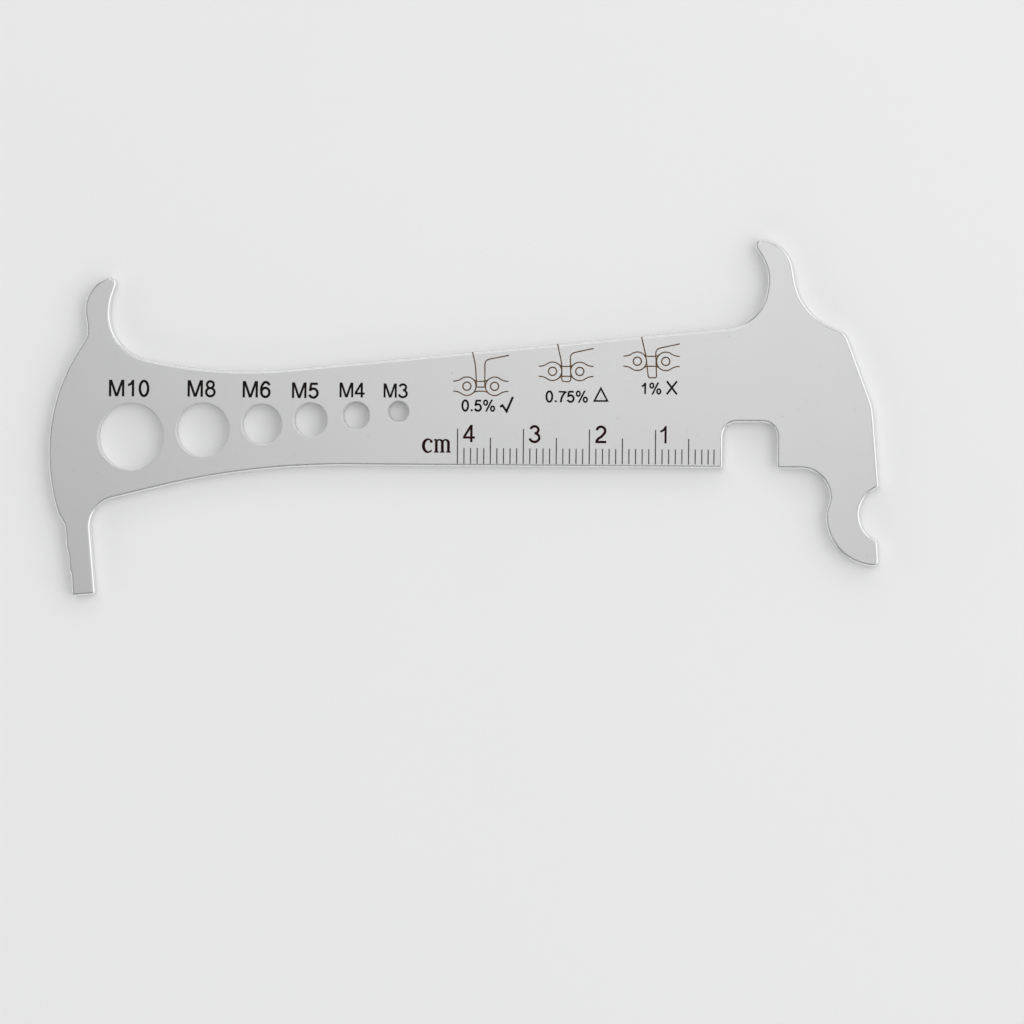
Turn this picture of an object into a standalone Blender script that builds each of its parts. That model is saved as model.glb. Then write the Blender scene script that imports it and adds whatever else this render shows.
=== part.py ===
# Bicycle chain wear gauge: one flat steel plate, cut to its outline, with a rounded rim and six bolt holes.
# Units are metres. The drawing plane is XY: x runs along the ruler edge from the slot's left wall, y runs up
# from the ruler edge. The plate lies on its back with its marked face up, and at the end it is moved so that
# the middle of its outline stands over the origin.

import math

import bmesh
import bpy
from mathutils import Matrix, Vector

# The plate
PLATE_THICKNESS = 0.0020
RIM_ROUND = 0.0004
RIM_STEPS = 3
RIM_LARGEST_SHARE = 0.45

# How finely round stretches are drawn
ARC_TOLERANCE = 0.00001
ARC_TURN = math.radians(6.0)
POINT_SPACING = 0.00003
WELD_DISTANCE = 0.000001

# Bolt holes, largest first: the bolts' sizes, the play round a bolt and the webs left between the holes
BOLT_SIZES = (0.010, 0.008, 0.006, 0.005, 0.004, 0.003)
BOLT_PLAY = 0.0002
HOLE_WEBS = (0.0019, 0.0019, 0.0018, 0.0023, 0.0028)
HOLE_ROW_INSET = 0.0070
HOLE_ROW_HEIGHT = 0.0042
HOLE_ROW_SLOPE = math.radians(5.6)
CUTTER_OVERRUN = 0.0010

# Long edges: the straight ruler edge below, the straight top edge above, and the waist between the ends
TOP_HEIGHT = 0.0210
TOP_SLOPE = math.radians(5.6)
WAIST_TO_LEG = 0.0208
WAIST_ROUND = 0.0700
BELLY_TO_LEG = 0.0256
BELLY_SLOPE = math.radians(13.8)
BELLY_ROUND = 0.1240
FLARE_SLOPE = math.radians(11.8)

# Measuring leg: its inner edge crosses the ruler line at LEG_REACH, and its outer edge has two wear steps
LEG_REACH = 0.0972
LEG_LENGTH = 0.0198
LEG_INNER_LEAN = math.radians(5.3)
LEG_OUTER_LEAN = math.radians(3.6)
LEG_ROOT_WIDTH = 0.0039
LEG_ROOT_DROP = 0.0094
LEG_STEP = 0.00028
LEG_STEP_DROPS = (0.0128, 0.0159)
LEG_STEP_RAMP = 0.0010
LEG_FILLET = 0.0043
LEG_CORNER = 0.0001

# Left side: the shoulder over the leg, and the long bulge in two arcs
SHOULDER_OUT = 0.0011
SHOULDER_RISE = 0.0017
SHOULDER_ROUND = 0.0007
SHOULDER_FILLET = 0.0024
BULGE_OUT = 0.0059
BULGE_LOW_HEIGHT = -0.0024
BULGE_LOW_ROUND = 0.0326
BULGE_HIGH_INSET = 0.0005
BULGE_HIGH_HEIGHT = 0.0110
BULGE_HIGH_ROUND = 0.0304

# Left hook, measured from the foot of its throat
LEFT_THROAT_OUT = 0.0036
LEFT_THROAT_ROUND = 0.0070
LEFT_THROAT_HEIGHT = 0.0074
LEFT_HOOK_HEIGHT = 0.0119
LEFT_TIP_REACH = 0.0015
LEFT_TIP_ROUND = 0.0005
LEFT_CROWN_WIDTH = 0.0044
LEFT_CROWN_HEIGHT = 0.0094
LEFT_CROWN_ROUND = 0.0044
LEFT_ROOT_WIDTH = 0.0034
LEFT_ROOT_HEIGHT = 0.0025
LEFT_ROOT_FILLET = 0.0026

# Right hook, measured from the foot of its throat
RIGHT_THROAT_X = 0.0056
RIGHT_THROAT_ROUND = 0.0063
RIGHT_THROAT_LEAN = 0.0012
RIGHT_THROAT_HEIGHT = 0.0080
RIGHT_HOOK_HEIGHT = 0.0129
RIGHT_TIP_REACH = 0.0018
RIGHT_TIP_ROUND = 0.0005
RIGHT_CROWN_REACH = 0.0040
RIGHT_CROWN_HEIGHT = 0.0125
RIGHT_CROWN_ROUND = 0.0047
RIGHT_FLANK_REACH = 0.0059
RIGHT_FLANK_HEIGHT = 0.0016
RIGHT_FLANK_ROUND = 0.0094

# Right end: the shoulder, the bend and the scoop's upper corner, worked out upwards from that corner
END_X = 0.0235
END_DROP = 0.0027
END_LEAN = math.radians(4.8)
BEND_HEIGHT = 0.0093
BEND_ROUND = 0.0091
UPPER_END_LEAN = math.radians(20.7)
END_SHOULDER_HEIGHT = 0.0203
END_SHOULDER_ROUND = 0.0018

# Hooked foot under the right end
SCOOP_WIDTH = 0.0080
SCOOP_DEPTH = 0.0028
SCOOP_INSET = 0.00015
TOE_OUT = 0.0001
TOE_HEIGHT = 0.0039
TOE_CORNER = 0.0005
SOLE_RISE = 0.0006
SOLE_INSET = 0.0003
SOLE_ROUND = 0.0072
HEEL_OUT = 0.0006
HEEL_DROP = 0.0066
HEEL_ROUND = 0.0007
NECK_DROP = 0.0046
NECK_ROUND = 0.0016
FOOT_FILLET = 0.0043

# Slot between the ruler edge and the foot
SLOT_WIDTH = 0.0081
SLOT_DEPTH = 0.0069
SLOT_CORNER = 0.0021
LIP_CORNER = 0.0001
LAND_LENGTH = 0.0080

STEEL_COLOUR = (0.60, 0.60, 0.61, 1.0)
STEEL_ROUGHNESS = 0.34


def top_edge_height(x):
    """Height of the straight top edge, carried on past its ends where needed."""
    return TOP_HEIGHT + x * math.tan(TOP_SLOPE)


def slot_corners():
    """The slot's left wall, roof and right wall, from left to right."""
    return [
        (0.0, 0.0, 0.0),
        (0.0, SLOT_DEPTH, SLOT_CORNER),
        (SLOT_WIDTH, SLOT_DEPTH, SLOT_CORNER),
        (SLOT_WIDTH, 0.0, LIP_CORNER),
    ]


def scoop_arc(start, end, depth):
    """Points of the circular scoop between its two corners, which cuts into the plate to the left."""
    start, end = Vector(start), Vector(end)
    chord = end - start
    radius = (chord.length ** 2 / 4 + depth ** 2) / (2 * depth)
    inward = Vector((-chord.y, chord.x)).normalized()
    centre = (start + end) / 2 - inward * (radius - depth)
    half_turn = math.acos((radius - depth) / radius)
    steps = arc_steps(radius, 2 * half_turn)
    middle = math.atan2(inward.y, inward.x)
    angles = [middle + half_turn - 2 * half_turn * i / steps for i in range(1, steps)]
    return [(centre.x + radius * math.cos(a), centre.y + radius * math.sin(a), 0.0) for a in angles]


def foot_corners():
    """The hooked foot, from the land beside the slot round the sole to the toe and the scoop."""
    neck_x = SLOT_WIDTH + LAND_LENGTH
    heel_x = neck_x - HEEL_OUT
    lip_x = END_X - SCOOP_INSET
    lip_y = -END_DROP - SCOOP_WIDTH
    sole = lip_y - TOE_HEIGHT
    scoop = scoop_arc((lip_x, lip_y), (END_X, -END_DROP), SCOOP_DEPTH)
    return [
        (neck_x, 0.0, FOOT_FILLET),
        (neck_x, -NECK_DROP, NECK_ROUND),
        (heel_x, -HEEL_DROP, HEEL_ROUND),
        (heel_x + SOLE_INSET, sole + SOLE_RISE, SOLE_ROUND),
        (END_X + TOE_OUT, sole, TOE_CORNER),
        (lip_x, lip_y, 0.0),
    ] + scoop


def right_end_corners():
    """The right end, from the scoop's upper corner up past the bend to the shoulder."""
    bend_x = END_X - (BEND_HEIGHT + END_DROP) * math.tan(END_LEAN)
    shoulder_x = bend_x - (END_SHOULDER_HEIGHT - BEND_HEIGHT) * math.tan(UPPER_END_LEAN)
    return [
        (END_X, -END_DROP, 0.0),
        (bend_x, BEND_HEIGHT, BEND_ROUND),
        (shoulder_x, END_SHOULDER_HEIGHT, END_SHOULDER_ROUND),
    ]


def right_hook_corners():
    """The right hook, from its outer flank over the crown and the tip down to its throat."""
    x = RIGHT_THROAT_X
    y = top_edge_height(x)
    return [
        (x + RIGHT_FLANK_REACH, y + RIGHT_FLANK_HEIGHT, RIGHT_FLANK_ROUND),
        (x + RIGHT_CROWN_REACH, y + RIGHT_CROWN_HEIGHT, RIGHT_CROWN_ROUND),
        (x - RIGHT_TIP_REACH, y + RIGHT_HOOK_HEIGHT, RIGHT_TIP_ROUND),
        (x + RIGHT_THROAT_LEAN, y + RIGHT_THROAT_HEIGHT, RIGHT_THROAT_ROUND),
        (x, y, RIGHT_THROAT_ROUND),
    ]


def left_hook_corners():
    """The waist in the top edge, the flare up to the left hook, and the hook from throat to root."""
    waist_x = WAIST_TO_LEG - LEG_REACH
    waist_y = top_edge_height(waist_x)
    x = LEFT_THROAT_OUT - LEG_REACH
    y = waist_y + (waist_x - x) * math.tan(FLARE_SLOPE)
    return [
        (waist_x, waist_y, WAIST_ROUND),
        (x, y, LEFT_THROAT_ROUND),
        (x, y + LEFT_THROAT_HEIGHT, LEFT_THROAT_ROUND),
        (x + LEFT_TIP_REACH, y + LEFT_HOOK_HEIGHT, LEFT_TIP_ROUND),
        (x - LEFT_CROWN_WIDTH, y + LEFT_CROWN_HEIGHT, LEFT_CROWN_ROUND),
        (x - LEFT_ROOT_WIDTH, y + LEFT_ROOT_HEIGHT, LEFT_ROOT_FILLET),
    ]


def left_side_corners():
    """The long bulge of the left side, from the hook's root down to the leg's shoulder."""
    outer_x = -LEG_REACH - BULGE_OUT
    root_x = leg_outer_x(LEG_ROOT_DROP, 0)
    return [
        (outer_x + BULGE_HIGH_INSET, BULGE_HIGH_HEIGHT, BULGE_HIGH_ROUND),
        (outer_x, BULGE_LOW_HEIGHT, BULGE_LOW_ROUND),
        (root_x - SHOULDER_OUT, SHOULDER_RISE - LEG_ROOT_DROP, SHOULDER_ROUND),
        (root_x, -LEG_ROOT_DROP, SHOULDER_FILLET),
    ]


def leg_inner_x(drop):
    """The leg's inner edge, which leans towards the foot as it goes down."""
    return -LEG_REACH + drop * math.tan(LEG_INNER_LEAN)


def leg_outer_x(drop, steps_passed):
    """The leg's outer edge at a depth, moved in by one wear step for each that lies above."""
    root = leg_inner_x(LEG_ROOT_DROP) - LEG_ROOT_WIDTH
    return root + (drop - LEG_ROOT_DROP) * math.tan(LEG_OUTER_LEAN) + steps_passed * LEG_STEP


def leg_corners():
    """The stepped measuring leg, down its outer edge, along its end and up its inner edge to the belly."""
    corners = []
    for passed, drop in enumerate(LEG_STEP_DROPS):
        corners.append((leg_outer_x(drop, passed), -drop, 0.0))
        corners.append((leg_outer_x(drop + LEG_STEP_RAMP, passed + 1), -drop - LEG_STEP_RAMP, 0.0))
    inner_end = leg_inner_x(LEG_LENGTH)
    end_width = inner_end - leg_outer_x(LEG_LENGTH, len(LEG_STEP_DROPS))
    end_fall = end_width * math.tan(LEG_INNER_LEAN)
    outer_end = leg_outer_x(LEG_LENGTH + end_fall, len(LEG_STEP_DROPS))
    corners.append((outer_end, -LEG_LENGTH - end_fall, LEG_CORNER))
    corners.append((inner_end, -LEG_LENGTH, LEG_CORNER))
    belly_x = BELLY_TO_LEG - LEG_REACH
    fall = BELLY_TO_LEG * math.tan(BELLY_SLOPE)
    root_drop = fall / (1 + math.tan(BELLY_SLOPE) * math.tan(LEG_INNER_LEAN))
    corners.append((leg_inner_x(root_drop), -root_drop, LEG_FILLET))
    corners.append((belly_x, 0.0, BELLY_ROUND))
    return corners


def arc_steps(radius, turn):
    """Number of straight steps that keep an arc within the tolerance and each step's turn small."""
    widest = min(ARC_TURN, 2 * math.acos(1 - ARC_TOLERANCE / radius))
    return max(2, math.ceil(abs(turn) / widest))


def round_corners(corners):
    """Turn a closed list of (x, y, radius) into points, each corner with a tangent arc of its radius.

    The list runs anticlockwise. A corner that stands proud has its radius given on the flat face, so its
    outline has the rim's round on top of that, and a sharp one stays sharp. Where the arcs of two
    neighbours would overlap on the side between them, both shrink to share it.
    """
    count = len(corners)
    points = [Vector(corner[:2]) for corner in corners]
    ins = [(points[i - 1] - points[i]).normalized() for i in range(count)]
    outs = [(points[(i + 1) % count] - points[i]).normalized() for i in range(count)]
    proud = [ins[i].cross(outs[i]) < 0 for i in range(count)]
    turns = [math.pi - ins[i].angle(outs[i]) for i in range(count)]
    radii = [corner[2] + (RIM_ROUND if proud[i] and corner[2] else 0.0) for i, corner in enumerate(corners)]
    reaches = [radii[i] * math.tan(turns[i] / 2) for i in range(count)]
    shares = [1.0] * count
    for i in range(count):
        j = (i + 1) % count
        side = (points[j] - points[i]).length
        wanted = reaches[i] + reaches[j]
        if wanted > side:
            shares[i] = min(shares[i], side / wanted)
            shares[j] = min(shares[j], side / wanted)
    outline = []
    for i in range(count):
        if not radii[i]:
            outline.append(points[i])
            continue
        radius = radii[i] * shares[i]
        toward = (ins[i] + outs[i]).normalized()
        centre = points[i] + toward * (radius / math.cos(turns[i] / 2))
        spoke = points[i] + ins[i] * (reaches[i] * shares[i]) - centre
        turn = turns[i] if proud[i] else -turns[i]
        steps = arc_steps(radius, turn)
        for k in range(steps + 1):
            outline.append(centre + Matrix.Rotation(turn * k / steps, 2) @ spoke)
    spaced = outline[:1]
    for point in outline[1:]:
        if (point - spaced[-1]).length > POINT_SPACING:
            spaced.append(point)
    return spaced


def gauge_outline():
    """The whole outline, anticlockwise from the slot."""
    return round_corners(
        slot_corners() + foot_corners() + right_end_corners() + right_hook_corners()
        + left_hook_corners() + left_side_corners() + leg_corners()
    )


def hole_centres():
    """Centres of the bolt holes along their sloping row, each one web on from the last."""
    along = Vector((math.cos(HOLE_ROW_SLOPE), math.sin(HOLE_ROW_SLOPE)))
    centre = Vector((HOLE_ROW_INSET - LEG_REACH, HOLE_ROW_HEIGHT))
    centres = [centre]
    for web, left, right in zip(HOLE_WEBS, BOLT_SIZES, BOLT_SIZES[1:]):
        centre = centre + along * (web + BOLT_PLAY + (left + right) / 2)
        centres.append(centre)
    return centres


def steel_material():
    """Plain stainless steel."""
    material = bpy.data.materials.new("stainless_steel")
    material.use_nodes = True
    shader = material.node_tree.nodes["Principled BSDF"]
    shader.inputs["Base Color"].default_value = STEEL_COLOUR
    shader.inputs["Metallic"].default_value = 1.0
    shader.inputs["Roughness"].default_value = STEEL_ROUGHNESS
    return material


def levels(item):
    """Which sides of the plate a face's or an edge's corners lie on: 0 for the back, 1 for the front."""
    return {round(v.co.z / PLATE_THICKNESS) for v in item.verts}


def blank_mesh(outline):
    """The flat blank as one closed mesh: a filled outline with thickness and a single face on each side."""
    curve = bpy.data.curves.new("blank_outline", "CURVE")
    curve.dimensions = "2D"
    curve.fill_mode = "BOTH"
    curve.extrude = PLATE_THICKNESS / 2
    spline = curve.splines.new("POLY")
    spline.points.add(len(outline) - 1)
    spline.points.foreach_set("co", [value for p in outline for value in (p.x, p.y, 0.0, 1.0)])
    spline.use_cyclic_u = True
    drawing = bpy.data.objects.new("blank_outline", curve)
    bpy.context.scene.collection.objects.link(drawing)
    drawing.location.z = PLATE_THICKNESS / 2
    bpy.context.view_layer.update()
    evaluated = drawing.evaluated_get(bpy.context.evaluated_depsgraph_get())
    mesh = bpy.data.meshes.new_from_object(evaluated)
    mesh.transform(drawing.matrix_world)
    bpy.data.objects.remove(drawing)

    shape = bmesh.new()
    shape.from_mesh(mesh)
    bmesh.ops.remove_doubles(shape, verts=shape.verts, dist=WELD_DISTANCE)
    bmesh.ops.recalc_face_normals(shape, faces=shape.faces)
    for level in (0, 1):
        bmesh.ops.dissolve_faces(shape, faces=[f for f in shape.faces if levels(f) == {level}])
    rim_weight = shape.edges.layers.float.new("bevel_weight_edge")
    for edge in shape.edges:
        edge[rim_weight] = 1.0 if len(levels(edge)) == 1 else 0.0
    shape.to_mesh(mesh)
    shape.free()
    return mesh


def hole_cutter(name, centre, diameter, collection):
    """A round punch that passes through the plate with some overrun on both sides."""
    punch = bmesh.new()
    steps = arc_steps(diameter / 2, 2 * math.pi)
    bmesh.ops.create_cone(
        punch, cap_ends=True, segments=steps, radius1=diameter / 2, radius2=diameter / 2,
        depth=PLATE_THICKNESS + 2 * CUTTER_OVERRUN)
    mesh = bpy.data.meshes.new(name)
    punch.to_mesh(mesh)
    punch.free()
    cutter = bpy.data.objects.new(name, mesh)
    cutter.location = (centre.x, centre.y, PLATE_THICKNESS / 2)
    cutter.hide_render = True
    cutter.display_type = "WIRE"
    collection.objects.link(cutter)


def build_gauge():
    """The plate with its rounded rim and its bolt holes."""
    for old in list(bpy.data.objects):
        bpy.data.objects.remove(old)
    parts = bpy.data.collections.new("chain_wear_gauge")
    cutters = bpy.data.collections.new("hole_cutters")
    for collection in (parts, cutters):
        bpy.context.scene.collection.children.link(collection)

    outline = gauge_outline()
    middle = Vector([(min(p[i] for p in outline) + max(p[i] for p in outline)) / 2 for i in range(2)])
    mesh = blank_mesh([p - middle for p in outline])
    mesh.materials.append(steel_material())
    plate = bpy.data.objects.new("gauge_plate", mesh)
    parts.objects.link(plate)

    rim = plate.modifiers.new("rounded_rim", "BEVEL")
    rim.limit_method = "WEIGHT"
    rim.width = min(RIM_ROUND, PLATE_THICKNESS * RIM_LARGEST_SHARE)
    rim.segments = RIM_STEPS
    rim.use_clamp_overlap = False

    for size, centre in zip(BOLT_SIZES, hole_centres()):
        hole_cutter(f"cutter_m{round(size * 1000)}", centre - middle, size + BOLT_PLAY, cutters)
    holes = plate.modifiers.new("bolt_holes", "BOOLEAN")
    holes.operation = "DIFFERENCE"
    holes.operand_type = "COLLECTION"
    holes.collection = cutters


build_gauge()
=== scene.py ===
import math

import bpy
import numpy as np
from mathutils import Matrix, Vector
from mathutils.geometry import tessellate_polygon


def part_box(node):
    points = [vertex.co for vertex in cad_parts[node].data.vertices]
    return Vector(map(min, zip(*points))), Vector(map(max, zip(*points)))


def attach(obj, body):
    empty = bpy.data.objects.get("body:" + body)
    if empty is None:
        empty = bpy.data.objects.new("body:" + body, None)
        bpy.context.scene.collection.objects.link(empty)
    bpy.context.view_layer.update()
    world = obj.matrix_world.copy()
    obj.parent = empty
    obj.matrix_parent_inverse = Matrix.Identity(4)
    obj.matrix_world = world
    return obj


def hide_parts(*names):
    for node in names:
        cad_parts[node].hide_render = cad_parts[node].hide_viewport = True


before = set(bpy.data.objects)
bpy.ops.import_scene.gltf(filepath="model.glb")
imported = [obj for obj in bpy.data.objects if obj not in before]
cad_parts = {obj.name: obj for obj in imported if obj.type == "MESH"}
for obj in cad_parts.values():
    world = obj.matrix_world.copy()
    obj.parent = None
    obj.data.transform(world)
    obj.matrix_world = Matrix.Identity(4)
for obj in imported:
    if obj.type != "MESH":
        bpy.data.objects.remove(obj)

mm = 0.001
plateNode = "gauge_plate"
low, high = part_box(plateNode)
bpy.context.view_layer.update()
print("frame loaded, plate box in mm:", [round(side / mm, 2) for side in high - low])


# shader helpers

class Socket:
    # one output of a node; arithmetic on it adds a Math node and gives that node's output
    def __init__(self, shader, socket):
        self.shader = shader
        self.socket = socket

    def math(self, operation, first, second, clamp=False):
        settings = {"operation": operation, "use_clamp": clamp}
        return self.shader.add("ShaderNodeMath", settings, {0: first, 1: second})

    def __add__(self, other):
        return self.math("ADD", self, other)

    def __radd__(self, other):
        return self.math("ADD", other, self)

    def __sub__(self, other):
        return self.math("SUBTRACT", self, other)

    def __rsub__(self, other):
        return self.math("SUBTRACT", other, self)

    def __mul__(self, other):
        return self.math("MULTIPLY", self, other)

    def __rmul__(self, other):
        return self.math("MULTIPLY", other, self)

    def ramp(self, start, end):
        # (value - start) / (end - start), held between 0 and 1
        return self.math("MULTIPLY", self - start, 1.0 / (end - start), clamp=True)


class Shader:
    # a material's node tree, ending in one Principled BSDF
    def __init__(self, name, constants):
        self.material = bpy.data.materials.new(name)
        self.material.use_nodes = True
        self.tree = self.material.node_tree
        self.tree.nodes.clear()
        self.surface = self.tree.nodes.new("ShaderNodeBsdfPrincipled")
        for socket, value in constants.items():
            self.surface.inputs[socket].default_value = value
        output = self.tree.nodes.new("ShaderNodeOutputMaterial")
        self.tree.links.new(self.surface.outputs["BSDF"], output.inputs["Surface"])

    def put(self, node, socket, value):
        # a link for another node's output, and a constant otherwise
        if isinstance(value, Socket):
            self.tree.links.new(value.socket, node.inputs[socket])
        else:
            node.inputs[socket].default_value = value

    def add(self, kind, settings, values, output=0):
        # a node of a kind, with its settings first and then the values or links of its sockets
        node = self.tree.nodes.new(kind)
        for name, value in settings.items():
            setattr(node, name, value)
        for socket, value in values.items():
            self.put(node, socket, value)
        return Socket(self, node.outputs[output])

    def millimetres(self, stretch=(1.0, 1.0, 1.0)):
        # the place on the piece, in millimetres, with each axis multiplied by its stretch
        place = self.add("ShaderNodeTexCoord", {}, {}, output="Object")
        scale = tuple(part / mm for part in stretch)
        return self.add("ShaderNodeVectorMath", {"operation": "MULTIPLY"}, {0: place, 1: scale})

    def noise(self, place, scale, detail, roughness):
        values = {"Vector": place, "Scale": scale, "Detail": detail, "Roughness": roughness}
        return self.add("ShaderNodeTexNoise", {}, values)

    def mix(self, share, first, second):
        # colour: (1 - share) * first + share * second, on a Mix node's colour sockets, 6 and 7 in and 2 out
        settings = {"data_type": "RGBA", "blend_type": "MIX", "clamp_factor": True}
        return self.add("ShaderNodeMix", settings, {0: share, 6: first, 7: second}, output=2)

    def attribute(self, name):
        return self.add("ShaderNodeAttribute", {"attribute_name": name}, {}, output="Fac")

    def bump(self, height, strength, distance):
        values = {"Strength": strength, "Distance": distance, "Height": height}
        return self.add("ShaderNodeBump", {}, values)

    def finish(self, **looks):
        # links what changes over the surface; an input's name has _ for a blank
        for socket, value in looks.items():
            self.put(self.surface, socket.replace("_", " "), value)
        return self.material


# mesh helpers

sharpAngle = 30.0           # degrees between two faces, past which their edge is shaded sharp
leastLength = 1e-12         # mm, added to a segment's length so that none is divided by zero


def gridFaces(rows, columns, closedRows=False):
    # quads between neighbours of a grid of points stored row by row, whose last column joins its first:
    # (i, j), (i, j+1), (i+1, j+1), (i+1, j)
    i = np.arange(rows if closedRows else rows - 1)[:, None]
    j = np.arange(columns)[None, :]
    nextI, nextJ = (i + 1) % rows, (j + 1) % columns
    corners = (i * columns + j, i * columns + nextJ, nextI * columns + nextJ, nextI * columns + j)
    return np.stack(corners, axis=-1).reshape(-1, 4)


def mitres(path, closed):
    # sideways step at each point of a path for a width of 1: left normals n1, n2 of the segments before and
    # after it, added and divided by 1 + n1 . n2
    ahead = np.roll(path, -1, axis=0) - path
    ahead /= np.linalg.norm(ahead, axis=1, keepdims=True) + leastLength
    if not closed:
        ahead[-1] = ahead[-2]
    left = np.column_stack((-ahead[:, 1], ahead[:, 0]))
    before = np.roll(left, 1, axis=0)
    if not closed:
        before[0] = left[0]
    return (left + before) / (1.0 + np.sum(left * before, axis=1, keepdims=True))


def makePiece(name, points, faces, material, attribute, values):
    # a mesh object at the origin, riding on the plate's body, from an array of points in mm and a list of
    # faces, with one attribute that has a value for each point
    mesh = bpy.data.meshes.new(name)
    mesh.from_pydata((points * mm).tolist(), [], faces)
    layer = mesh.attributes.new(attribute, "FLOAT", "POINT")
    layer.data.foreach_set("value", values.astype(np.float32))
    mesh.shade_smooth()
    mesh.set_sharp_from_angle(angle=math.radians(sharpAngle))
    mesh.materials.append(material)
    piece = bpy.data.objects.new(name, mesh)
    bpy.context.scene.collection.objects.link(piece)
    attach(piece, "root")
    print(name, "made,", len(faces), "faces")
    return piece


# plate: the CAD outline with a finer round along its edge

plate = {
    "rimRound": 0.40,       # mm, round of the blanked edge, as on the CAD plate
    "rimSteps": 8,          # flats in a quarter round
    "holeBreak": 0.04,      # mm, round at the mouths of the bolt holes
    "holeSteps": 3,
    "flatBand": 0.06,       # mm of flat beside a round, which keeps the face's shading flat
    "markSink": 0.016,      # mm that the face lies under the CAD face, which leaves room for the marks
}
weldStep = 1e-7             # m, grid that CAD corners are rounded to, so that those at one place are one
uprightSlope = 0.02         # share of its length by which an upright triangle's normal may rise
faceHeight = high.z / mm - plate["markSink"]


def nodeTriangles(node):
    # the CAD node's corners in mm, each place once, and its triangles as rows of three corners
    corners = np.empty(len(node.data.vertices) * 3, np.float32)
    node.data.vertices.foreach_get("co", corners)
    triangles = np.empty(len(node.data.loops), np.int32)
    node.data.loops.foreach_get("vertex_index", triangles)
    cells = np.round(corners.reshape(-1, 3) / weldStep).astype(np.int64)
    cells, same = np.unique(cells, axis=0, return_inverse=True)
    return cells * weldStep / mm, same.reshape(-1)[triangles].reshape(-1, 3)


def upperEdges(points, triangles):
    # starts and ends of the upper edges of the upright walls, with metal on the left. An edge of the walls'
    # triangles is on a rim when no triangle of the walls runs along it the other way
    a, b, c = (points[triangles[:, k]] for k in range(3))
    normals = np.cross(b - a, c - a)
    wall = triangles[np.abs(normals[:, 2]) < uprightSlope * np.linalg.norm(normals, axis=1)]
    start = wall.T.reshape(-1)
    end = np.roll(wall, -1, axis=1).T.reshape(-1)
    total = len(points)
    single = ~np.isin(start * total + end, end * total + start)
    middle = high.z / mm / 2
    upper = single & (points[start, 2] > middle) & (points[end, 2] > middle)
    return end[upper], start[upper]


def closedLoops(start, end):
    # the loops that edges from start to end make, each as its points in order. They are told apart by
    # pointer doubling: every point learns the smallest number met 1, 2, 4, 8 ... points on, which names its
    # loop, and then in how many points it gets to that one, which gives its turn
    used, numbers = np.unique(start, return_inverse=True)
    own = np.arange(len(used))
    following = np.empty(len(used), np.int64)
    following[numbers] = np.searchsorted(used, end)
    rounds = int(math.ceil(math.log2(len(used)))) + 1
    first, jump = own, following
    for _ in range(rounds):
        first, jump = np.minimum(first, first[jump]), jump[jump]
    isFirst = first == own
    steps, jump = (~isFirst).astype(np.int64), np.where(isFirst, own, following)
    for _ in range(rounds):
        steps, jump = steps + steps[jump], jump[jump]
    order = np.lexsort((-steps, first))
    return np.split(used[order], np.flatnonzero(np.diff(first[order])) + 1)


def plateLoops(node):
    # x, y in mm round the outline and then round each hole, the widest first
    points, triangles = nodeTriangles(node)
    loops = [points[loop, :2] for loop in closedLoops(*upperEdges(points, triangles))]
    return sorted(loops, key=lambda loop: -np.ptp(loop[:, 0]))


def edgeProfile(roundSize, steps):
    # depth into the metal and height of the rows of an edge, from the back face round to the front face:
    # depth = r - r sin a, height = r - r cos a for a quarter turn, and the same upside down at the front.
    # The rows' edge value is sin a, 0 at a face and 1 at the wall
    turn = np.linspace(0.0, np.pi / 2, steps + 1)
    depth = roundSize * (1.0 - np.sin(turn))
    height = roundSize * (1.0 - np.cos(turn))
    inner = [roundSize + plate["flatBand"]]
    depths = np.concatenate((inner, depth, depth[::-1], inner))
    heights = np.concatenate(([0.0], height, faceHeight - height[::-1], [faceHeight]))
    edge = np.concatenate(([0.0], 1.0 - depth / roundSize, 1.0 - depth[::-1] / roundSize, [0.0]))
    return depths, heights, edge


def faceFill(mouths):
    # triangles that fill the first ring of points round the others, turned to face up where
    # (b - a) x (c - a) points down; their corners are numbered along all the rings
    fill = np.array(tessellate_polygon([[Vector((x, y, 0.0)) for x, y in mouth] for mouth in mouths]))
    flat = np.concatenate(mouths)
    a, b, c = (flat[fill[:, k]] for k in range(3))
    clockwise = (b - a)[:, 0] * (c - a)[:, 1] < (b - a)[:, 1] * (c - a)[:, 0]
    fill[clockwise] = fill[clockwise][:, ::-1]
    return fill


def makePlate(loops, material):
    # every loop's edge profile carried along it, row = loop + depth * mitre, and both faces filled between
    # the innermost rows
    points, faces, edges = [], [], []
    mouths, back, front = [], [], []
    used = 0
    for number, loop in enumerate(loops):
        size, steps = plate["holeBreak"], plate["holeSteps"]
        if number == 0:
            size, steps = plate["rimRound"], plate["rimSteps"]
        depths, heights, edge = edgeProfile(size, steps)
        rows = loop[None] + depths[:, None, None] * mitres(loop, closed=True)[None]
        height = np.broadcast_to(heights[:, None, None], rows.shape[:2] + (1,))
        faces += (gridFaces(len(depths), len(loop)) + used).tolist()
        points.append(np.concatenate((rows, height), axis=2).reshape(-1, 3))
        edges.append(np.repeat(edge, len(loop)))
        mouths.append(rows[-1])
        back.append(used + np.arange(len(loop)))
        used += len(points[-1])
        front.append(used - len(loop) + np.arange(len(loop)))
    fill = faceFill(mouths)
    faces += np.concatenate(back)[fill[:, ::-1]].tolist() + np.concatenate(front)[fill].tolist()
    points, edges = np.concatenate(points), np.concatenate(edges)
    piece = makePiece("satin_plate", points, faces, material, "edge", edges)
    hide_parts(plateNode)


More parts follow.
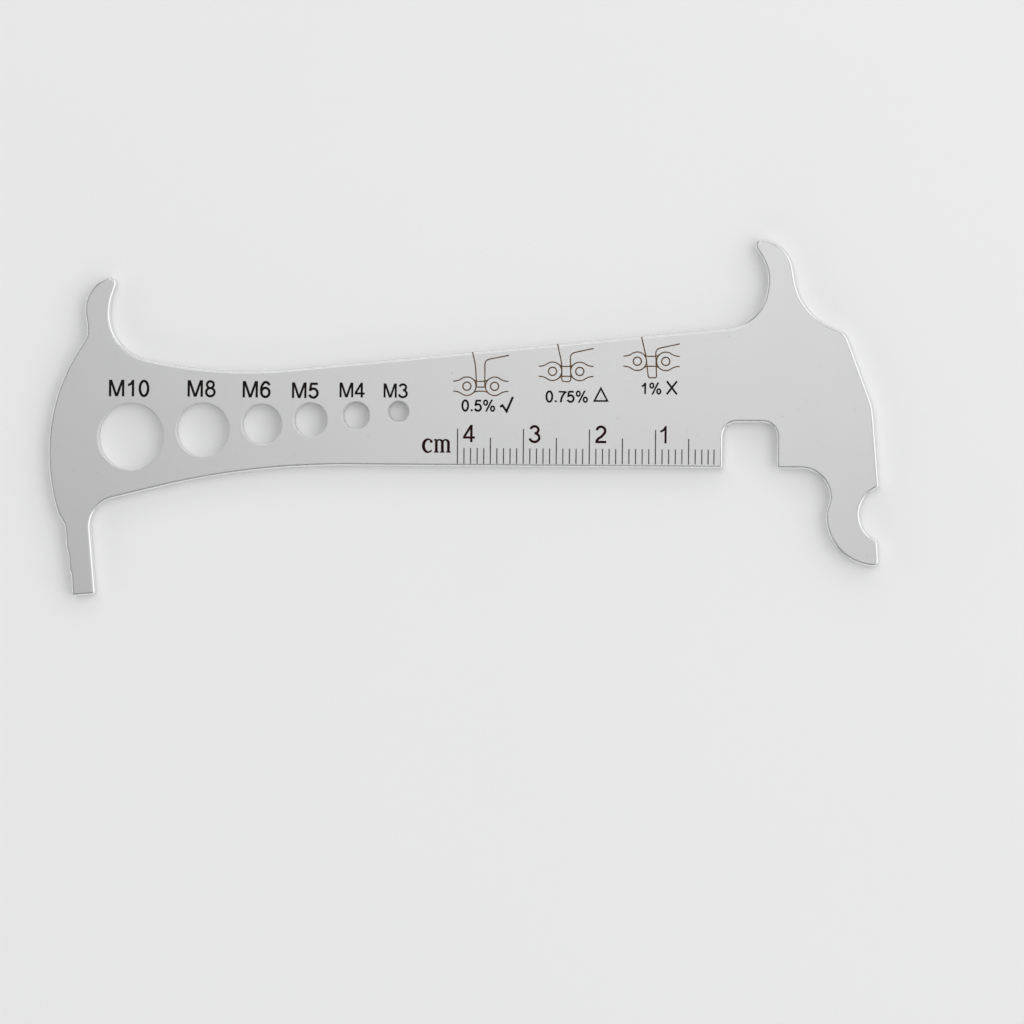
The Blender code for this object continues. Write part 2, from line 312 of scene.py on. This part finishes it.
steel = {
    "light": (0.620, 0.620, 0.622, 1.0),    # clean satin face
    "dark": (0.564, 0.564, 0.567, 1.0),     # deeper grains and dull clouds
    "rim": (0.840, 0.842, 0.846, 1.0),      # tumbled round and wall: brighter from polish, and paler still as a painted highlight
    "speck": (0.300, 0.290, 0.280, 1.0),    # small pits
    "refraction": 2.5,
    "roughness": 0.30,
    "rimRoughness": 0.22,
    # noises: features in a mm, detail and roughness, and for two the stretch of the place along x, y and z
    "grain": (7.0, 3.0, 0.65),
    "clouds": (0.11, 3.0, 0.55),
    "rub": (1.0, 3.0, 0.6),
    "rubStretch": (0.5, 6.0, 1.0),
    "streaks": (1.0, 3.0, 0.6),
    "streakStretch": (9.0, 9.0, 0.7),
    "patches": (0.35, 1.0, 0.5),
    "patchRamp": (0.52, 0.6),               # values of the patches between which pits begin to show
    "pitScale": 0.55,                       # cells in a mm, each with a pit somewhere in it
    "pitRamp": (0.05, 0.09),                # ends of a pit's slope, from its middle, in cells
    "wallRamp": (0.80, 1.0),                # edge values between which the blanked wall's streaks begin
    # how much each adds to the colour's change, to the roughness and to the height
    "tint": {"grain": 0.55, "clouds": 0.9, "rub": 0.35, "edge": 0.85, "pits": 0.22},
    "dulling": {"grain": 0.10, "clouds": 0.06, "pits": 0.15, "streaks": 0.14},
    "relief": {"grain": 0.5, "streaks": 1.5, "pits": 0.8},
    "bump": (0.35, 0.006 * mm),             # strength and distance
}


def steelMaterial():
    # satin stainless steel: fine grain, dull clouds, sparse pits, and a tumbled rim with blanking streaks.
    # The rim and wall are paler partly from polish and partly as a painted highlight.
    # A noise counts as (noise - 0.5) * its share
    tint, dulling, relief = steel["tint"], steel["dulling"], steel["relief"]
    shader = Shader("satinSteel", {"Metallic": 1.0, "IOR": steel["refraction"]})
    place = shader.millimetres()
    grain = shader.noise(place, *steel["grain"])
    clouds = shader.noise(place, *steel["clouds"])
    rub = shader.noise(shader.millimetres(steel["rubStretch"]), *steel["rub"])
    edge = shader.attribute("edge")
    streaks = shader.noise(shader.millimetres(steel["streakStretch"]), *steel["streaks"])
    cells = {"Vector": place, "Scale": steel["pitScale"], "Randomness": 1.0}
    distance = shader.add("ShaderNodeTexVoronoi", {"feature": "F1"}, cells, output="Distance")
    patches = shader.noise(place, *steel["patches"])
    pits = (1 - distance.ramp(*steel["pitRamp"])) * patches.ramp(*steel["patchRamp"])
    wear = ((grain - 0.5) * tint["grain"] + (clouds - 0.5) * tint["clouds"]
            + (rub - 0.5) * tint["rub"] + 0.5)
    colour = shader.mix(wear, steel["dark"], steel["light"])
    # the rim and wall are mixed towards a colour paler than steel: partly polish, partly a painted highlight
    colour = shader.mix(edge * tint["edge"], colour, steel["rim"])
    colour = shader.mix(pits * tint["pits"], colour, steel["speck"])
    softness = (steel["roughness"] + (grain - 0.5) * dulling["grain"]
                + (clouds - 0.5) * dulling["clouds"] + pits * dulling["pits"])
    wall = edge.ramp(*steel["wallRamp"])
    polish = steel["rimRoughness"] + (streaks - 0.5) * wall * dulling["streaks"]
    roughness = softness * (1 - edge) + polish * edge
    height = (grain * relief["grain"] * (1 - edge) + streaks * wall * relief["streaks"]
              - pits * relief["pits"])
    normal = shader.bump(height, *steel["bump"])
    return shader.finish(Base_Color=colour, Roughness=roughness, Normal=normal)


loops = plateLoops(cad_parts[plateNode])
print("outline points:", len(loops[0]), "holes:", len(loops) - 1)
makePlate(loops, steelMaterial())


# marks: thin ribbons burnt into the face, each a small profile carried along its centre line

markHeight = 0.010          # mm, a mark's top over the face
markRise = 0.001            # mm more for each further stroke, so that strokes that cross don't share a plane
markLevels = 5              # strokes, after which the tops begin at markHeight again
markRoot = 0.008            # mm that a mark reaches into the plate
railBurn = (1.0, 1.0, 1.0, 0.0, 1.0)        # burn value of a ribbon's rails, 0 along the middle of the top


def line(*corners):
    # straight from corner to corner
    return np.array(corners, float)


def arc(centre, radii, start, end, steps=24):
    # centre + radii * (cos a, sin a), with a in even steps from start to end, in degrees
    a = np.radians(np.linspace(start, end, steps))
    return np.column_stack((centre[0] + radii[0] * np.cos(a), centre[1] + radii[1] * np.sin(a)))


def ring(centre, radii, steps=40):
    # a full turn of an arc, without its last point
    return arc(centre, radii, 0.0, 360.0, steps + 1)[:-1]


def rounded(corners, sizes, steps=8):
    # a line whose inner corners are quadratic bends: (1-t)^2 p + 2 t (1-t) corner + t^2 q, with p and q at
    # each corner's size from it along its two sides
    corners = np.array(corners, float)
    t = np.linspace(0.0, 1.0, steps)[:, None]
    parts = [corners[:1]]
    for before, corner, after, size in zip(corners, corners[1:], corners[2:], sizes):
        p = corner + (before - corner) * size / np.linalg.norm(before - corner)
        q = corner + (after - corner) * size / np.linalg.norm(after - corner)
        parts.append((1 - t) ** 2 * p + 2 * t * (1 - t) * corner + t ** 2 * q)
    return np.concatenate(parts + [corners[-1:]])


def stroke(path, width, closed=False, cut=None):
    # cut is the direction of both ends' edges: (1, 0) ends flush with a baseline, (0, 1) upright
    return {"path": path, "width": width, "closed": closed, "cut": cut}


def ribbon(part, top, bottom):
    # rails = path -+ width / 2 * mitre at the bottom and the top, and the path itself along the middle of
    # the top, in the order that turns the faces outwards; a cut end has cut / (mitre . cut) as its mitre
    path, count = part["path"], len(part["path"])
    side = mitres(path, part["closed"])
    if part["cut"] is not None:
        cut = np.array(part["cut"])
        side[[0, -1]] = cut / (side[[0, -1]] @ cut)[:, None]
    half = np.broadcast_to(np.asarray(part["width"], float), count)[:, None] / 2
    left, right = path + side * half, path - side * half
    rails = (right, left, left, path, right)
    heights = (bottom, bottom, top, top, top)
    points = np.stack([np.column_stack((rail, np.full(count, height)))
                       for rail, height in zip(rails, heights)], axis=1)
    faces = gridFaces(count, len(rails), closedRows=part["closed"]).tolist()
    if not part["closed"]:
        section = np.arange(len(rails))
        faces += [section[::-1].tolist(), (section + (count - 1) * len(rails)).tolist()]
    return points.reshape(-1, 3), faces, np.tile(railBurn, count)


def makeMarks(name, strokes, material):
    # one mesh of all the strokes
    points, faces, burns = [], [], []
    used = 0
    for number, part in enumerate(strokes):
        top = faceHeight + markHeight + markRise * (number % markLevels)
        rows, polygons, burn = ribbon(part, top, faceHeight - markRoot)
        faces += [[corner + used for corner in polygon] for polygon in polygons]
        points.append(rows)
        burns.append(burn)
        used += len(rows)
    makePiece(name, np.concatenate(points), faces, material, "burn", np.concatenate(burns))


flush, upright = (1.0, 0.0), (0.0, 1.0)     # directions of a stroke's cut ends
stemWidth = 0.109           # of the letter size
capHeight = 0.725           # of the letter size
letterStretch = 1.03        # how much taller the letters stand than their widths ask
glyphs = {                  # plain sans letters: how far the next one stands, and strokes, in letter sizes
    "M": (0.833, [stroke(line((0.120, 0), (0.120, capHeight)), stemWidth),
                  stroke(line((0.150, capHeight), (0.414, 0)), stemWidth, cut=flush),
                  stroke(line((0.420, 0), (0.684, capHeight)), stemWidth, cut=flush),
                  stroke(line((0.714, 0), (0.714, capHeight)), stemWidth)]),
    "0": (0.556, [stroke(ring((0.275, 0.353), (0.188, 0.326)), stemWidth * 1.08, closed=True)]),
    "1": (0.556, [stroke(line((0.329, 0), (0.329, capHeight)), stemWidth),
                  stroke(arc((0.080, 0.790), (0.262, 0.290), -86, -34, 8), stemWidth, cut=upright)]),
    "2": (0.556, [stroke(np.concatenate((arc((0.268, 0.505), (0.182, 0.173), 172, -38, 20),
                                         arc((0.620, 0.020), (0.545, 0.300), 128, 172, 8))), stemWidth),
                  stroke(line((0.031, 0.042), (0.503, 0.042)), stemWidth * 0.95)]),
    "3": (0.556, [stroke(arc((0.256, 0.532), (0.170, 0.148), 170, -90), stemWidth * 1.08),
                  stroke(arc((0.257, 0.206), (0.207, 0.179), 90, -170), stemWidth * 1.08)]),
    "4": (0.556, [stroke(line((0.367, 0), (0.367, capHeight)), stemWidth * 1.05),
                  stroke(line((0.348, 0.680), (0.046, 0.206)), stemWidth),
                  stroke(line((0.004, 0.194), (0.522, 0.194)), stemWidth * 0.95)]),
    "5": (0.556, [stroke(line((0.135, 0.664), (0.478, 0.664)), stemWidth * 1.05),
                  stroke(line((0.160, 0.690), (0.104, 0.330)), stemWidth * 1.05, cut=flush),
                  stroke(arc((0.262, 0.233), (0.203, 0.205), 146, -160), stemWidth * 1.10)]),
    "6": (0.556, [stroke(ring((0.280, 0.228), (0.185, 0.200)), stemWidth * 1.06, closed=True),
                  stroke(arc((0.300, 0.330), (0.212, 0.350), 188, 38), stemWidth * 1.06)]),
    "7": (0.556, [stroke(line((0.047, 0.656), (0.505, 0.656)), stemWidth * 0.90),
                  stroke(arc((0.816, -0.030), (0.622, 0.780), 117, 178, 14), stemWidth * 1.10, cut=flush)]),
    "8": (0.556, [stroke(ring((0.275, 0.532), (0.152, 0.148)), stemWidth, closed=True),
                  stroke(ring((0.275, 0.206), (0.190, 0.179)), stemWidth, closed=True)]),
    ".": (0.278, [stroke(line((0.139, 0), (0.139, 0.118)), 0.118)]),
    "%": (0.889, [stroke(ring((0.210, 0.540), (0.115, 0.150), 28), stemWidth * 0.92, closed=True),
                  stroke(ring((0.668, 0.170), (0.115, 0.150), 28), stemWidth * 0.92, closed=True),
                  stroke(line((0.238, -0.026), (0.632, 0.735)), stemWidth * 0.92, cut=flush)]),
}


def written(text, left, baseline, size, weight=1.0):
    # the strokes of a row of letters: place = (left + steps of the letters before, baseline) + size * glyph
    scale = np.array((size, size * letterStretch))
    strokes = []
    for letter in text:
        step, parts = glyphs[letter]
        for part in parts:
            path = np.array((left, baseline)) + scale * part["path"]
            strokes.append(dict(part, path=path, width=size * weight * part["width"]))
        left += step * size
    return strokes


boltLabels = {              # left edge of the M's box, baseline and letter size, in mm
    "M10": (-54.13, 3.13, 3.38), "M8": (-42.03, 3.14, 3.36), "M6": (-33.57, 3.08, 3.33),
    "M5": (-26.01, 3.03, 3.18), "M4": (-18.72, 3.18, 2.99), "M3": (-11.99, 3.18, 2.87),
}


def boltStrokes():
    # the bolt's name over each hole
    return [part for text, place in boltLabels.items() for part in written(text, *place)]


rulerScale = {              # in mm
    "zero": 39.54,          # x of the ruler's zero, and it runs towards -x
    "millimetres": 40,
    "shifted": {1: 0.17, 2: 0.05},          # how far these ticks stand nearer to the others than they should
    "lowerEnd": -6.55,      # y of the ticks' lower ends at the zero
    "lowerSlope": -0.0042,  # how much further down the next one ends
    "tops": {10: -1.42, 5: -2.74, 1: -4.33},    # upper ends of the centimetre, half and millimetre ticks
    "tickWidth": 0.17,
    "digitSize": 3.50,
    "digitBaseline": -3.45,
    # left edge of each digit's box and how bold it is drawn
    "digits": {"4": (0.35, 0.94), "3": (10.32, 0.93), "2": (20.34, 1.04), "1": (29.89, 0.84)},
}


def tickStrokes():
    # a tick at every millimetre from the zero; its top is that of the longest unit that divides its number
    strokes = []
    for count in range(1, rulerScale["millimetres"] + 1):
        unit = next(unit for unit in rulerScale["tops"] if count % unit == 0)
        x = rulerScale["zero"] - count - rulerScale["shifted"].get(count, 0.0)
        foot = rulerScale["lowerEnd"] + count * rulerScale["lowerSlope"]
        strokes.append(stroke(line((x, foot), (x, rulerScale["tops"][unit])), rulerScale["tickWidth"]))
    return strokes


def digitStrokes():
    # a digit beside each centimetre's tick
    baseline, size = rulerScale["digitBaseline"], rulerScale["digitSize"]
    return [part for digit, (left, weight) in rulerScale["digits"].items()
            for part in written(digit, left, baseline, size, weight)]


unitMark = {                # cm in letters with thick stems, thin joins and flat feet, in mm
    "baseline": -5.07,
    "top": -3.06,
    "thin": 0.25,
    "thick": 0.49,
    "stem": 0.88,           # width of the m's stems, as a share of thick
    "bowl": ((-4.92, -4.03), (0.72, 0.97)), # centre and radii of the c
    "bowlTurn": (48, 318, 30),              # from and to, in degrees, and points
    "swell": 0.7,           # the less, the longer the c stays thick
    "ball": ((-4.51, -3.19), (-4.41, -3.59)),   # end of the c
    "ballWidth": 0.40,
    "stems": (-3.68, -2.76, -1.84),
    "stemDrop": 0.30,       # how much lower the stems under the arches end
    "footWidth": 0.20,
    "footReach": 0.36,      # from a stem's middle
    "flagDrops": (0.10, 0.02),              # outer and inner end of the m's flag under its top
    "archDrop": 0.55,       # springing of the m's arches under its top
    "archRise": 0.48,
    "archTurn": (165, 0, 16),
}


def unitStrokes():
    # the c's width along its turn a is thin + (thick - thin) * (-cos a) ^ swell, and an arch's is
    # thin + (stem - thin) * cos a; both are thin where the cosine's term is negative. Each stem of the m has
    # a foot, and the first a flag too
    base, top, thin = unitMark["baseline"], unitMark["top"], unitMark["thin"]
    stem, foot, reach = unitMark["thick"] * unitMark["stem"], unitMark["footWidth"], unitMark["footReach"]
    bowlTurn = np.radians(np.linspace(*unitMark["bowlTurn"]))
    swell = np.clip(-np.cos(bowlTurn), 0, 1) ** unitMark["swell"]
    bowl = arc(*unitMark["bowl"], *unitMark["bowlTurn"])
    strokes = [stroke(bowl, thin + (unitMark["thick"] - thin) * swell),
               stroke(line(*unitMark["ball"]), unitMark["ballWidth"])]
    stems = unitMark["stems"]
    for x in stems:
        height = top if x == stems[0] else top - unitMark["stemDrop"]
        strokes.append(stroke(line((x, base), (x, height)), stem))
        strokes.append(stroke(line((x - reach, base + foot / 2), (x + reach, base + foot / 2)), foot))
    outer, inner = unitMark["flagDrops"]
    strokes.append(stroke(line((stems[0] - reach, top - outer), (stems[0], top - inner)), foot))
    archTurn = np.radians(np.linspace(*unitMark["archTurn"]))
    archWidth = thin + (stem - thin) * np.clip(np.cos(archTurn), 0, 1)
    for first, second in zip(stems, stems[1:]):
        span = (second - first) / 2
        centre = (first + span, top - unitMark["archDrop"])
        arch = arc(centre, (span, unitMark["archRise"]), *unitMark["archTurn"])
        strokes.append(stroke(arch, archWidth))
    return strokes


wearLabels = {              # text, left edge, baseline and letter size, in mm
    "half": ("0.5%", 0.02, 1.21, 2.33),
    "threeQuarters": ("0.75%", 12.77, 2.64, 2.33),
    "whole": ("1%", 27.14, 3.94, 2.30),
}
wearSigns = {
    "weight": 1.12,         # how much bolder the small letters are drawn
    "triangleWidth": 0.27,
    "crossWidth": 0.30,
    "tickWidth": 0.34,
    "tick": [(5.96, 1.87), (6.30, 2.12), (6.94, 1.23), (7.88, 3.40)],
    "triangle": [(21.20, 4.76), (20.24, 2.87), (22.21, 2.87)],
    "cross": [(31.15, 5.90), (32.69, 3.92), (32.69, 5.90), (31.15, 3.92)],
}


def wearStrokes():
    # the three per cent marks, and after them the tick, the triangle and the cross
    labels = [part for label in wearLabels.values() for part in written(*label, wearSigns["weight"])]
    return labels + [stroke(line(*wearSigns["tick"]), wearSigns["tickWidth"]),
                     stroke(line(*wearSigns["triangle"]), wearSigns["triangleWidth"], closed=True),
                     stroke(line(*wearSigns["cross"][:2]), wearSigns["crossWidth"]),
                     stroke(line(*wearSigns["cross"][2:]), wearSigns["crossWidth"])]


chainPictures = {           # in mm
    "lineWidth": 0.18,
    "rollerWidth": 0.20,    # of the inner circles' lines
    "rollerRound": 0.615,   # inner circle
    "linkRound": 1.39,      # outer round of a link plate's end
    "waistTurn": 50.0,      # degrees at which the round turns over into the waist between the rollers
    "waistHeight": 0.74,    # half the height of the waist
    "tailTurn": 125.0,      # degrees at which the round turns over into the tail that leads away
    "tailHeight": 0.76,
    "tailEnd": 2.10,
    "bendRound": 0.90,      # where the measuring leg bends under the edge
    "shoulderRound": 0.75,
    # place of the left roller and pitch to the right one; right side, left side and bottom of the leg's tip;
    # and the leg's line, from the plate's edge over its bend and, past the tip, over its shoulder to its arm
    "pictures": {
        "half": {
            "roller": (0.88, 4.98), "pitch": 4.21, "tip": (3.60, 2.34, 4.85), "tipRound": 0.08,
            "edge": (1.68, 10.12), "bend": (2.17, 8.15), "shoulder": (3.58, 8.93), "arm": (7.19, 9.65),
        },
        "threeQuarters": {
            "roller": (13.86, 7.29), "pitch": 4.12, "tip": (16.64, 15.28, 5.74), "tipRound": 0.44,
            "edge": (14.58, 11.42), "bend": (15.26, 8.4), "shoulder": (16.52, 9.98), "arm": (20.06, 10.76),
        },
        "whole": {
            "roller": (26.67, 8.87), "pitch": 4.30, "tip": (29.60, 28.36, 6.40), "tipRound": 0.26,
            "edge": (27.26, 12.56), "bend": (27.98, 9.6), "shoulder": (29.42, 10.72), "arm": (33.06, 11.51),
        },
    },
}


def levelBend(turn, height, steps):
    # from the link's round, left at the angle turn, back to level at a height. Both rounds touch, so the
    # bend's radius is (r sin turn - height) / (1 - sin turn), and its pivot is r + radius from the roller
    r, lift = chainPictures["linkRound"], math.sin(math.radians(turn))
    radius = (r * lift - height) / (1.0 - lift)
    pivot = ((r + radius) * math.cos(math.radians(turn)), height + radius)
    return arc(pivot, (radius, radius), 180.0 + turn, 270.0, steps)


def linkOutline(centre, side):
    # half of a chain link's outline about a roller: tail, bend, round, bend, tail
    r, turn, height = (chainPictures[part] for part in ("linkRound", "tailTurn", "tailHeight"))
    bend = np.concatenate((levelBend(turn, height, steps=10), [(-chainPictures["tailEnd"], height)]))
    body = arc((0.0, 0.0), (r, r), turn, -turn, steps=44)[1:-1]
    path = np.concatenate((bend[::-1], body, bend * (1.0, -1.0)))
    return np.array(centre) + path * (side, 1.0)


def waistOutline(centre, pitch, level):
    # the waist between two rollers: it leaves one round, bends to level and ends on the other as it began
    left = levelBend(chainPictures["waistTurn"], chainPictures["waistHeight"], steps=8)
    right = (pitch, 0.0) + left[::-1] * (-1.0, 1.0)
    return np.array(centre) + np.concatenate((left, right)) * (1.0, level)


def legOutline(picture):
    # the measuring leg: down from the edge, round its tip, and up to the shoulder and the arm
    right, left, bottom = picture["tip"]
    corners = [picture["edge"], picture["bend"], (left, bottom), (right, bottom),
               picture["shoulder"], picture["arm"]]
    sizes = [chainPictures["bendRound"], picture["tipRound"], picture["tipRound"],
             chainPictures["shoulderRound"]]
    return rounded(corners, sizes)


def pictureStrokes(picture):
    # two rollers, two half links, the waist's upper and lower line, and the leg between the rollers
    r, pitch = chainPictures["rollerRound"], picture["pitch"]
    centre = picture["roller"]
    other = (centre[0] + pitch, centre[1])
    rollers = [ring(centre, (r, r)), ring(other, (r, r))]
    lines = [linkOutline(centre, 1.0), linkOutline(other, -1.0),
             waistOutline(centre, pitch, 1.0), waistOutline(centre, pitch, -1.0), legOutline(picture)]
    return ([stroke(path, chainPictures["rollerWidth"], closed=True) for path in rollers]
            + [stroke(path, chainPictures["lineWidth"]) for path in lines])


burnt = {
    # colour of a burnt mark's middle and of its rim
    "letters": ((0.004, 0.004, 0.004, 1.0), (0.026, 0.016, 0.012, 1.0)),
    "numbers": ((0.006, 0.003, 0.003, 1.0), (0.070, 0.020, 0.018, 1.0)),
    "ruler": ((0.040, 0.036, 0.034, 1.0), (0.125, 0.112, 0.102, 1.0)),
    "pictures": ((0.042, 0.027, 0.017, 1.0), (0.300, 0.165, 0.055, 1.0)),
    "refraction": 1.14,
    "roughness": 0.55,
    # noises: features in a mm, detail and roughness
    "clouds": (0.9, 3.0, 0.6),
    "grain": (9.0, 2.0, 0.6),
    # how much each adds to the colour's change and to the roughness
    "tint": {"burn": 0.55, "clouds": 0.9, "grain": 0.3},
    "dulling": 0.2,
    "bump": (0.3, 0.004 * mm),              # strength and distance
}


def burntMaterial(name, kind):
    # heat-darkened steel: darkest along the middle of a stroke, browner at its rim, cloudy along it
    middle, rim = burnt[kind]
    tint = burnt["tint"]
    shader = Shader(name, {"Metallic": 0.0, "IOR": burnt["refraction"]})
    place = shader.millimetres()
    clouds = shader.noise(place, *burnt["clouds"])
    grain = shader.noise(place, *burnt["grain"])
    burn = shader.attribute("burn")
    heat = burn * tint["burn"] + (clouds - 0.5) * tint["clouds"] + (grain - 0.5) * tint["grain"]
    colour = shader.mix(heat, middle, rim)
    roughness = burnt["roughness"] + (grain - 0.5) * burnt["dulling"]
    normal = shader.bump(grain, *burnt["bump"])
    return shader.finish(Base_Color=colour, Roughness=roughness, Normal=normal)


letters = burntMaterial("burntLetters", "letters")
pictures = [part for picture in chainPictures["pictures"].values() for part in pictureStrokes(picture)]
makeMarks("bolt_labels", boltStrokes(), letters)
makeMarks("ruler_ticks", tickStrokes(), burntMaterial("burntTicks", "ruler"))
makeMarks("ruler_numbers", digitStrokes() + unitStrokes(), burntMaterial("burntNumbers", "numbers"))
makeMarks("wear_labels", wearStrokes(), letters)
makeMarks("chain_pictures", pictures, burntMaterial("burntPictures", "pictures"))


# floor, lights and camera

studio = {
    "floorColour": (0.94, 0.94, 0.94, 1.0),
    "floorDim": 0.985,                      # brightness of the floor's duller clouds
    "floorClouds": (0.02, 2.0, 0.5),        # features in a mm, detail and roughness
    "floorRoughness": 0.75,
    "floorSide": 6.0,                       # m
    "floorGap": 0.05,                       # mm under the plate, so that the two never share a plane
    "worldColour": (0.99, 0.995, 1.0, 1.0),
    "worldStrength": 0.30,
    # soft boxes: place in m, turn in degrees, width and height in m, and brightness of the panel
    "boxes": {"canopy": ((0.00, 0.10, 1.75), (0, 0, 0), (2.60, 2.20), 0.16),
              "strip": ((-0.30, 0.68, 1.70), (0, 0, 26), (0.60, 1.50), 1.3),
              "right": ((1.45, 0.20, 0.98), (0, 56, 0), (2.10, 3.00), 1.22),
              "behind": ((0.30, 1.60, 0.62), (-69, 0, 0), (2.60, 1.00), 1.08),
              "left": ((-1.60, 0.00, 0.45), (0, -75, 0), (0.70, 2.20), 1.10),
              "front": ((0.00, -1.60, 0.45), (75, 0, 0), (2.60, 0.70), 1.10)},
}
view = {
    "place": (147.1, -29.8, 1055.6),        # mm, camera's place on the CAD axes
    "turn": (0.932, 7.516, 0.580),          # degrees about x, y and z
    "lens": 248.4,                          # mm
    "sensor": 36.0,                         # mm
}


def makeFloor():
    # a flat square of pale floor
    side = studio["floorSide"] / mm / 2
    points = np.array([(-side, -side), (side, -side), (side, side), (-side, side)])
    points = np.column_stack((points, np.full(4, -studio["floorGap"])))
    shader = Shader("paleFloor", {"Roughness": studio["floorRoughness"]})
    clouds = shader.noise(shader.millimetres(), *studio["floorClouds"])
    dimmed = tuple(part * studio["floorDim"] for part in studio["floorColour"][:3]) + (1.0,)
    material = shader.finish(Base_Color=shader.mix(clouds, studio["floorColour"], dimmed))
    mesh = bpy.data.meshes.new("floor")
    mesh.from_pydata((points * mm).tolist(), [], [(0, 1, 2, 3)])
    mesh.materials.append(material)
    floor = bpy.data.objects.new("floor", mesh)
    bpy.context.scene.collection.objects.link(floor)


def makeLights():
    # a soft box of brightness L and area A is a lamp of pi * L * A watts
    world = bpy.data.worlds.new("studio")
    world.use_nodes = True
    background = world.node_tree.nodes["Background"]
    background.inputs["Color"].default_value = studio["worldColour"]
    background.inputs["Strength"].default_value = studio["worldStrength"]
    bpy.context.scene.world = world
    for name, (place, turn, size, brightness) in studio["boxes"].items():
        lamp = bpy.data.lights.new(name + "_box", "AREA")
        lamp.shape = "RECTANGLE"
        lamp.size, lamp.size_y = size
        lamp.energy = math.pi * brightness * size[0] * size[1]
        holder = bpy.data.objects.new(name + "_box", lamp)
        holder.location = place
        holder.rotation_euler = [math.radians(part) for part in turn]
        bpy.context.scene.collection.objects.link(holder)


def makeCamera():
    # looks down on the plate from about a metre off
    camera = bpy.data.objects.new("camera", bpy.data.cameras.new("camera"))
    camera.data.lens = view["lens"]
    camera.data.sensor_width = view["sensor"]
    camera.location = Vector(view["place"]) * mm
    camera.rotation_euler = [math.radians(turn) for turn in view["turn"]]
    bpy.context.scene.collection.objects.link(camera)
    bpy.context.scene.camera = camera


makeFloor()
makeLights()
makeCamera()
print("floor, lights and camera made")
bpy.context.scene.view_settings.view_transform = "Standard"
